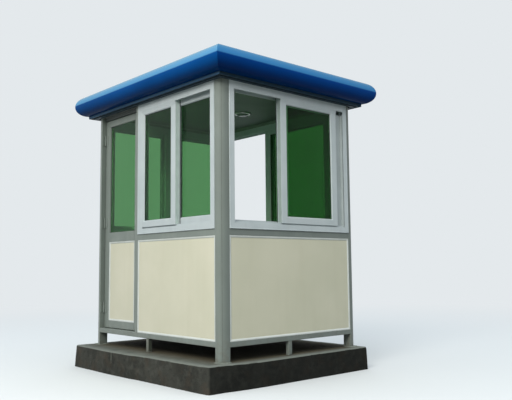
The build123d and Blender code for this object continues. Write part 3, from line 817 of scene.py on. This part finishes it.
rails = [level_bar("left", box_section(leaf_back, leaf_front, z0, z1, 2), hinge_stile[1], lock_stile[0])
         for z0, z1 in ((leaf_low, door_panel_levels[0]), (door_panel_levels[1], door_glass_levels[0]),
                        (door_glass_levels[1], leaf_high))]
stile_bar = upright_bar("left", box_section(*hinge_stile, leaf_back, leaf_front, 3), leaf_low, leaf_high)
piece("leaf_tubes", together(lengths([stile_bar, *rails]), pocketed_stile()), grey_coat,
      body="door", replaces=["door_frame"], edge=0.6)
panel_hole = (hinge_stile[1], lock_stile[0], *door_panel_levels)
piece("leaf_panel_beads", lengths(mitred("left", panel_hole, [bead_section(leaf_front + panel_face)] * 4)),
      bead_white, body="door", replaces=["door_beads"], edge=0.35)
pane_middle = (leaf_front + leaf_back) / 2
pane_hole = (hinge_stile[1], lock_stile[0], *door_glass_levels)
for name, way, finish in (("outer", 1, grey_coat), ("inner", -1, bead_white)):
    section = [(far, pane_middle + way * off)
               for far, off in ((-1, 3), (-1, 16), (1, 16), (3.5, 8), (3.5, 3))]
    piece(name + "_glazing_beads", lengths(mitred("left", pane_hole, [section] * 4)), finish,
          body="door", edge=0.6)
soft = mitred("left", pane_hole, [gasket_section(3.2, pane_middle, 1)] * 4)
piece("leaf_gasket", lengths(soft), rubber, body="door", edge=0.4)

# Door hinges
# Three steel butt hinges painted with the frame: one leaf screwed to the face of
# the door with the middle knuckle, the other to the post with the outer two.
pin_s, pin_u = -846.5, -33
knuckle, pin, hinge_half, hinge_third, knuckle_gap, chamfer, flap_thick = 7, 3, 48, 16, 0.5, 0.8, 3
flap_neck, flap_end, screw_row = -834, -807, 34
hinge_levels = (526, 1305, 2084)


def turned(middle, axis, profile, count=20):
    """A turned shape in rings of (radius, distance along the axis). A ring that
    isn't round has a list of radii."""
    axis = Vector(axis)
    first = axis.orthogonal().normalized()
    second = axis.cross(first)
    points = []
    for radius, far in profile:
        for step in range(count):
            angle = math.tau * step / count
            reach = radius[step] if isinstance(radius, list) else radius
            points.append(middle + axis * far + (first * math.cos(angle) + second * math.sin(angle)) * reach)
    return points, between_rings(count, len(profile))


def screw(middle, axis, radius=3.6, high=1.4):
    """A pan head with a cross recess in it."""
    arms = [radius * (0.62 if step % 6 in (0, 1, 5) else 0.2) for step in range(24)]
    head = [(radius, 0.0), (radius, high * 0.45), (radius * 0.86, high * 0.85), (radius * 0.7, high)]
    return turned(middle, axis, [*head, (arms, high), ([arm * 0.8 for arm in arms], high * 0.35)], 24)


def plate(spot_on, outline, low, high):
    """A flat plate: its outline at one depth and at another."""
    return lengths([[[spot_on(a, b, far) for a, b in outline] for far in (low, high)]])


def on_face(s, z, u):
    return place("left", s, z, u)


def on_post(u, z, s):
    return place("left", s, z, u)


outwards, to_door = sides["left"][0], along("left")
ring_long = 2 * hinge_third
middle_knuckle = [(knuckle - chamfer, 0), (knuckle, chamfer), (knuckle, ring_long - chamfer),
                  (knuckle - chamfer, ring_long)]
outer_long = hinge_half - hinge_third - knuckle_gap
outer_knuckle = [(knuckle - chamfer, 0), (knuckle, chamfer), (knuckle, outer_long - chamfer),
                 (knuckle - chamfer, outer_long), (pin, outer_long)]
moving, fixed, screws = [], [], []
for z in hinge_levels:
    pin_foot = place("left", pin_s, z, pin_u)
    moving.append(turned(pin_foot - Vector((0, 0, hinge_third)), (0, 0, 1), middle_knuckle))
    half_flap = [(pin_s, hinge_third, 0), (flap_neck, hinge_third, 2), (flap_neck, hinge_half, 0),
                 (flap_end, hinge_half, 5)]
    flap = rounded([(s, z - rise, radius) for s, rise, radius in half_flap]
                   + [(s, z + rise, radius) for s, rise, radius in reversed(half_flap)], 4)
    moving.append(plate(on_face, flap, leaf_front, leaf_front + flap_thick))
    for rise in (-screw_row, 0, screw_row):
        screws.append(screw(on_face(-820, z + rise, leaf_front + flap_thick), outwards))
    for way in (1, -1):
        start = hinge_third + knuckle_gap
        ring = [(radius, way * (start + far)) for radius, far in outer_knuckle]
        fixed.append(turned(pin_foot, (0, 0, 1), ring))
        neck = box_section(pin_u, pin_u + 12, *sorted((z + way * start, z + way * hinge_half)), 0.5)
        fixed.append(plate(on_post, neck, door_from, door_from + flap_thick))
    fixed.append(turned(pin_foot, (0, 0, 1), [(pin - 0.2, 1 - hinge_half), (pin - 0.2, hinge_half - 1)]))
    post_flap = box_section(pin_u + 9.5, pin_u + 30.5, z - hinge_half, z + hinge_half, 5)
    fixed.append(plate(on_post, post_flap, door_from, door_from + flap_thick))
    for rise in (-screw_row, screw_row):
        fixed.append(screw(on_face(door_from + flap_thick, z + rise, pin_u + 20), to_door))
piece("moving_hinge_flaps", together(*moving, *screws), grey_coat, body="door",
      replaces=["door_hinge_leaves"], edge=0)
piece("fixed_hinge_flaps", together(*fixed), grey_coat, replaces=["post_hinge_leaves"], edge=0)

# Lock and handles
# Outside a stainless pull plate round the cup, with the key cylinder over it. Inside
# a plain plate with a straight lever on a round rose.
# Brushed stainless steel: a metal with fine lines that run up and down, drawn 6 mm
# wide so that they show.
steel, tree, shader = surface("brushed_stainless_steel", {"Metallic": 1.0, "Roughness": 0.34})
brushed = patches(tree, 6, 0.3, 0.7, stretch=(1, 1, 0.05))
wire(shader, {"Base Color": layered(tree, "#a9aaa6", (brushed, "#c3c4c0"))})
lock_level, plate_half, plate_tall, plate_thick = 1350, 16, 85, 4
plate_low, plate_high = lock_level - plate_tall, lock_level + plate_tall
key_level, key_radius = 1417, 9
lever_off, lever_long = 31, 95


def ringed_plate(outer, inner, low, high):
    """A plate with a hole, both outlines having as many points."""
    count = len(outer)
    points = [on_face(s, z, u) for u in (low, high) for ring in (outer, inner) for s, z in ring]
    faces = []
    for at in range(count):
        after = (at + 1) % count
        for a, b in ((0, 1), (2, 3), (0, 2), (1, 3)):
            faces.append((a * count + at, a * count + after, b * count + after, b * count + at))
    return points, faces


outer = box_section(cup_s - plate_half, cup_s + plate_half, plate_low, plate_high, 6)
mouth = box_section(cup_s - cup_half, cup_s + cup_half, *cup_levels, 4)
inside = box_section(cup_s - cup_half + 1, cup_s + cup_half - 1, cup_levels[0] + 1, cup_levels[1] - 1, 3.4)
front = leaf_front + plate_thick
cup_floor = leaf_front - cup_deep
cylinder = [(key_radius, -3), (key_radius, 3.2), (key_radius - 0.8, 4), (6.2, 4), (6, 3.4)]
lock_parts = [
    ringed_plate(outer, mouth, leaf_front, front),
    ringed_plate(mouth, inside, cup_floor + 0.2, front - 0.5),
    plate(on_face, mouth, cup_floor + 0.1, cup_floor + 1),
    turned(on_face(cup_s, key_level, front), outwards, cylinder, 32),
]
for z in (plate_low + 6, plate_high - 36):
    lock_parts.append(screw(on_face(cup_s, z, front), outwards, 3, 1))
piece("pull_plate_and_key_cylinder", together(*lock_parts), steel, body="door",
      replaces=["door_handles"], edge=0.4)
slot = ((-0.9, -4), (0.9, -4), (0.9, 2.5), (1.8, 4), (-1.8, 4), (-0.9, 2.5))
keyway = [(cup_s + a, key_level + b) for a, b in slot]
piece("keyway", plate(on_face, keyway, front + 3.5, front + 0.5), rubber, body="door", edge=0)
back = leaf_back - plate_thick
rose = [(15, 0), (15, 3), (13.5, 5), (8, 5.4), (7, 7), (7, 31), (7, 37.5), (5.5, 38)]
grip = [(6.6, -6.9), (7, -5), (7, 88), (6.4, 92), (4.5, lever_long - 0.4), (2, lever_long)]
lever_parts = [
    plate(on_face, outer, leaf_back, back),
    turned(on_face(cup_s, lock_level, back), -outwards, rose, 28),
    turned(on_face(cup_s, lock_level, back - lever_off), -to_door, grip, 28),
]
for z in (plate_low + 10, plate_high - 10):
    lever_parts.append(screw(on_face(cup_s, z, back), -outwards, 3, 1))
piece("inside_plate_and_lever", together(*lever_parts), steel, body="door", edge=0.4)

# Soffit
# Folded dark sheet under the eaves, stepping up and out from the wall to the hem
# of the nosing, mitred at the corners.
# Painted shade: a darker tint on the faces that look to the front.
dark_sheet = powder_coat("dark_coated_sheet", "#2f3e49", "#28353f", "#384853", "#d8dcde", 0.1)
soffit_section = [(0, 2302), (34, 2302), (34, 2312), (62, 2312), (62, 2330), (52, 2330), (52, 2322),
                  (24, 2322), (24, 2312), (0, 2312)]
boards = [level_bar(side, soffit_section, -reach, reach, 1) for side, reach in ends.items()]
piece("soffit_sheet", lengths(boards), dark_sheet, replaces=["soffit"], edge=1.0)

# Eaves
# Half-round nosing rolled from thin steel sheet and enamelled a glossy blue, one
# mitred length a side, with a flange on the deck, and a drip strip and hem below.
# Its upper half is a paler blue with a clear edge, a painted reflection of the sky,
# and its underside and the faces that look to the front are darker: painted shade.
blue_enamel, tree, shader = surface("blue_enamelled_steel", {
    "IOR": 1.5, "Metallic": 0.0, "Specular IOR Level": 0.025, "Roughness": 0.18})
blue = layered(
    tree, two_tone(tree, 500, "#04498c", "#034382", 3),
    # Painted shade: darker on the faces that turn downwards.
    (facing(tree, "Z", -0.4, -0.9), "#c8d0dc", "MULTIPLY"),
    # Painted reflection of the sky: paler blue on faces that turn upwards, greyer on top.
    (facing(tree, "Z", 0.05, 0.14), "#558fb9"),
    (facing(tree, "Z", 0.3, 0.95), "#648a9b"),
    # Painted shade: darker on the faces that look to the front.
    (facing(tree, "Y", -0.1, -0.5), "#abd6ee", "MULTIPLY"),
    (times(tree, facing(tree, "Z", 0.9, 0.99), patches(tree, 70, detail=5), 0.4), "#8b9aa6"))
dents = add(tree, "Bump", {"Height": patches(tree, 340, 0.3, 0.7, 1), "Distance": 0.004, "Strength": 0.3})
wire(shader, {"Base Color": blue, "Normal": dents})
# Painted shade: a much darker tint on the faces that look to the front.
drip_paint = powder_coat("drip_strip_paint", "#324f68", "#2c465d", "#36546e", "#9cadaa", 0.1)
eave_middle, eave_radius, eave_skin, eave_out = 2427, 97, 4, 66
flange_end, drip_back, drip_bottom, hem_back = 6, 62, 2306, 54
eave_low, eave_high = eave_middle - eave_radius, eave_middle + eave_radius


def nosing_arc(radius, first, last, steps=30):
    angles = [math.radians(first + (last - first) * step / steps) for step in range(steps + 1)]
    return [(eave_out + radius * math.cos(a), eave_middle + radius * math.sin(a)) for a in angles]


nosing = [*nosing_arc(eave_radius, -90, 90), (flange_end, eave_high), (flange_end, eave_high - eave_skin),
          *nosing_arc(eave_radius - eave_skin, 90, -90), (hem_back, eave_low + eave_skin),
          (hem_back, eave_low)]
drip = box_section(drip_back, eave_out, drip_bottom, eave_low - 0.05, 1)
for side, reach in ends.items():
    piece(side + "_nosing", lengths([level_bar(side, nosing, -reach, reach, 1)]), blue_enamel,
          replaces=[side + "_eave"], edge=0.8)
    piece(side + "_drip_strip", lengths([level_bar(side, drip, -reach, reach, 1)]), drip_paint,
          edge=0)

# Roof deck
# Insulated deck under four low slopes of blue coated sheet, sun bleached and dusty,
# with folded caps on the hips and the ridge, screwed through rubber washers.
roof_sheet, tree, shader = surface("coated_roof_sheet", {"IOR": 1.5, "Metallic": 0.0})
dusty = layered(tree, two_tone(tree, 260, "#4d7799", "#5b82a0", 5),
                (times(tree, patches(tree, 110, 0.48, 0.7, 6, shift=5.0), 0.3), "#84908f"))
wire(shader, {"Base Color": dusty, "Roughness": patches(tree, 60, 0.4, 0.6, 3, span=(0.5, 0.75))})
deck_reach, deck_low, deck_top, sheet_top, hip_run, sheet_foot = 66, 2490, 2520, 2577, 740, 6
cap_half = 55


def deck_ring(reach, z):
    x, y = half_width + reach, half_depth + reach
    return [(-x, -y, z), (x, -y, z), (x, y, z), (-x, y, z)]


foot_ring, crown_ring = deck_ring(sheet_foot, deck_top), deck_ring(-hip_run, sheet_top)
deck_points = [*deck_ring(deck_reach, deck_low), *deck_ring(deck_reach, deck_top), *foot_ring, *crown_ring]
piece("roof_sheets", (deck_points, between_rings(4, 4)), roof_sheet, replaces=["roof_deck"],
      edge=1.5, crease=60)
caps, cap_screws = [], []
for foot, crown in zip(foot_ring, crown_ring):
    low, high = Vector(foot), Vector(crown)
    rise = (high - low).normalized()
    across = rise.cross(Vector((0, 0, 1))).normalized() * cap_half
    over = across.cross(rise).normalized()
    fold = [across - over, over * 2.5, -across - over, -across - over * 3, over * 0.5, across - over * 3]
    caps.append(([low + rise * 14 + spot for spot in fold], [high - rise * 6 + spot for spot in fold]))
    for step in range(4):
        for way in (-0.7, 0.7):
            spot = low.lerp(high, 0.12 + 0.25 * step) + across * way
            cap_screws.append(screw(spot, over, 5, 2.2))
            cap_screws.append(turned(spot - over * 0.6, over, [(7.5, 0), (7.5, 0.9), (6.5, 1.2)], 16))
piece("hip_caps", lengths(caps), blue_enamel, edge=0)
ridge_fold = [(-cap_half, -1.5), (0, 2.5), (cap_half, -1.5), (cap_half, -3.5), (0, 0.5), (-cap_half, -3.5)]
ridge_end = half_depth - hip_run + 14
ridge = [[Vector((x, y, sheet_top + z)) for x, z in ridge_fold] for y in (-ridge_end, ridge_end)]
piece("ridge_cap", lengths([ridge]), blue_enamel, edge=0)
piece("roof_screws", together(*cap_screws), steel, edge=0)

# Ceiling, cove and lamp
# Smooth ceiling board with a pale cove strip round it, and one round lamp: a domed
# opal cover held by a polished ring.
# Emulsion paint on board and cove, IOR 1.5: matt and satin, painted a dark grey-green
# and a grey as painted shade of the inside. The cover is moulded acrylic, IOR 1.49:
# unlit, smooth and grey, painted shade too.
# Painted shade: the ceiling board is a dark grey-green.
board_paint = plain_finish("painted_ceiling_board", {"Roughness": 0.7, "IOR": 1.5}, 300, "#68756d", "#5f6c65")
dress(board_paint, "ceiling")
# Painted shade: the cove is a grey.
cove_paint = plain_finish("painted_cove", {"Roughness": 0.5, "IOR": 1.5}, 200, "#959c96", "#8b928c")
dress(cove_paint, "cornice")
# Painted shade: the opal cover is a grey.
opal = plain_finish("opal_acrylic", {"Roughness": 0.25, "IOR": 1.49}, 40, "#7d857f", "#6f7771")
lamp_foot, cover_radius, cover_rise, cover_foot = Vector((225, -47, 2330)), 60, 24, 8
dome = [(cover_radius * math.cos(a), cover_foot + cover_rise * math.sin(a))
        for a in [step * math.pi / 24 for step in range(12)]]
piece("lamp_cover", turned(lamp_foot, (0, 0, -1), [*dome, (4, cover_foot + cover_rise)], 48), opal,
      replaces=["ceiling_lamp"], edge=0)
trim = [(75, 0), (75, 9), (73, 12), (68, 14), (62, 13), (59, 9), (59, 7)]
piece("lamp_ring", turned(lamp_foot, (0, 0, -1), trim, 48), steel, edge=0)
